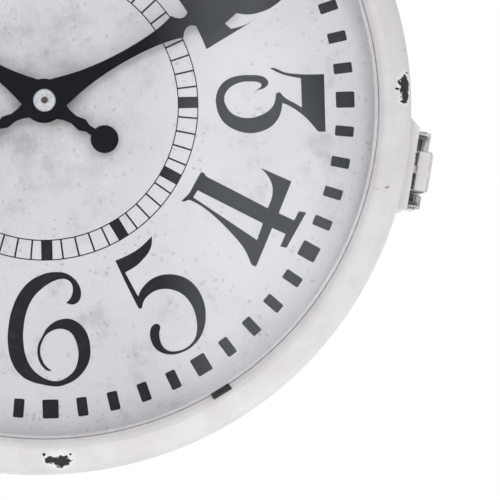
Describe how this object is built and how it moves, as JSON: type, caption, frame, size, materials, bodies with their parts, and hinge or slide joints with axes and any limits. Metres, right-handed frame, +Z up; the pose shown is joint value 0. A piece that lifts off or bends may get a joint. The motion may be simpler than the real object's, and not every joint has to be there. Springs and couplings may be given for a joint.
{
  "type": "double sided station clock",
  "caption": "Round double sided clock: two glazed half cases hinged together, latched at the side and hung from a swivel under a wall bracket.",
  "frame": {"origin": "on the wall, in the middle of the wall plate's four screw holes", "axes": "+X away from the wall along the arm, +Y from the front dial to the rear dial, +Z up"},
  "size_m": [0.4313, 0.08, 0.425],
  "materials": {
    "white_paint": "satin off-white paint, chipped to black at the edges",
    "glass": "clear",
    "black_clip": "matt black",
    "dial_print": "matt printed face with grey stains",
    "zinc_steel": "zinc plated",
    "black_moulding": "moulded, fine texture",
    "brass": "turned",
    "battery_wrap": "plain sleeve",
    "black_hands": "satin black",
    "bright_nut": "bright"
  },
  "bodies": {
    "bracket": {"wall_plate": "white_paint", "bracket_arm": "white_paint", "arm_finial": "white_paint", "scroll_brace": "white_paint"},
    "rear_half": {"rear_case": "white_paint", "rear_glass": "glass", "rear_glass_clips": "black_clip", "rear_dial": "dial_print", "rear_dial_tabs": "zinc_steel", "rear_dial_screws": "zinc_steel", "rear_movement": "black_moulding", "rear_dial_nut": "brass", "rear_battery": "battery_wrap", "rear_battery_contacts": "zinc_steel", "seam_ring": "white_paint", "latch_pad": "white_paint", "latch_base": "white_paint", "latch_base_rivets": "white_paint", "latch_lever_pins": "zinc_steel", "rear_hinge_leaf": "white_paint", "hinge_pin": "zinc_steel", "rear_hinge_rivets": "white_paint", "hanger_pad": "white_paint", "hanger": "white_paint", "hanger_bolts": "zinc_steel", "swivel_spindle": "zinc_steel", "thrust_washer": "zinc_steel", "top_washer": "zinc_steel", "swivel_nut": "zinc_steel"},
    "front_half": {"front_case": "white_paint", "front_glass": "glass", "front_glass_clips": "black_clip", "front_dial": "dial_print", "front_dial_tabs": "zinc_steel", "front_dial_screws": "zinc_steel", "front_movement": "black_moulding", "front_dial_nut": "brass", "front_battery": "battery_wrap", "front_battery_contacts": "zinc_steel", "keeper_pad": "white_paint", "latch_keeper": "white_paint", "keeper_rivets": "white_paint", "front_hinge_leaf": "white_paint", "front_hinge_rivets": "white_paint"},
    "lever": {"latch_lever": "white_paint", "latch_claw_pin": "zinc_steel", "latch_claw_spacers": "zinc_steel"},
    "claw": {"latch_claw": "white_paint"},
    "front_minute": {"front_minute_hand": "black_hands", "front_minute_arbor": "brass", "front_hand_nut": "bright_nut"},
    "front_hour": {"front_hour_hand": "black_hands"},
    "front_knob": {"front_setting_knob": "black_moulding"},
    "rear_minute": {"rear_minute_hand": "black_hands", "rear_minute_arbor": "brass", "rear_hand_nut": "bright_nut"},
    "rear_hour": {"rear_hour_hand": "black_hands"},
    "rear_knob": {"rear_setting_knob": "black_moulding"}
  },
  "joints": [
    {"name": "swivel", "type": "hinge", "parent": "bracket", "child": "rear_half", "pos_m": [0.235, 0, 0.0495], "axis": [0, 0, 1], "range_deg": [-180, 180]},
    {"name": "case_opening", "type": "hinge", "parent": "rear_half", "child": "front_half", "pos_m": [0.0491, 0, -0.157], "axis": [0, 0, -1], "range_deg": [0, 90]},
    {"name": "latch_lever_turn", "type": "hinge", "parent": "rear_half", "child": "lever", "pos_m": [0.42124, 0.007, -0.19253], "axis": [-0.1874, 0, -0.9823], "range_deg": [0, 110]},
    {"name": "latch_claw_turn", "type": "hinge", "parent": "lever", "child": "claw", "pos_m": [0.41987, 0.013, -0.19226], "axis": [-0.1874, 0, -0.9823], "range_deg": [-110, 0]},
    {"name": "front_minute_turn", "type": "hinge", "parent": "front_half", "child": "front_minute", "pos_m": [0.235, -0.0277, -0.1553], "axis": [0, 1, 0], "continuous": true},
    {"name": "front_hour_turn", "type": "hinge", "parent": "front_half", "child": "front_hour", "pos_m": [0.235, -0.0255, -0.1553], "axis": [0, 1, 0], "continuous": true},
    {"name": "front_knob_turn", "type": "hinge", "parent": "front_half", "child": "front_knob", "pos_m": [0.247, -0.0024, -0.1433], "axis": [0, 1, 0], "continuous": true},
    {"name": "rear_minute_turn", "type": "hinge", "parent": "rear_half", "child": "rear_minute", "pos_m": [0.235, 0.0277, -0.1553], "axis": [0, -1, 0], "continuous": true},
    {"name": "rear_hour_turn", "type": "hinge", "parent": "rear_half", "child": "rear_hour", "pos_m": [0.235, 0.0255, -0.1553], "axis": [0, -1, 0], "continuous": true},
    {"name": "rear_knob_turn", "type": "hinge", "parent": "rear_half", "child": "rear_knob", "pos_m": [0.223, 0.0024, -0.1433], "axis": [0, -1, 0], "continuous": true}
  ],
  "couplings": [
    {"joint": "latch_claw_turn", "follows": "latch_lever_turn", "ratio": -1},
    {"joint": "front_hour_turn", "follows": "front_minute_turn", "ratio": 0.083333},
    {"joint": "front_knob_turn", "follows": "front_minute_turn", "ratio": -1},
    {"joint": "rear_hour_turn", "follows": "rear_minute_turn", "ratio": 0.083333},
    {"joint": "rear_knob_turn", "follows": "rear_minute_turn", "ratio": -1}
  ]
}
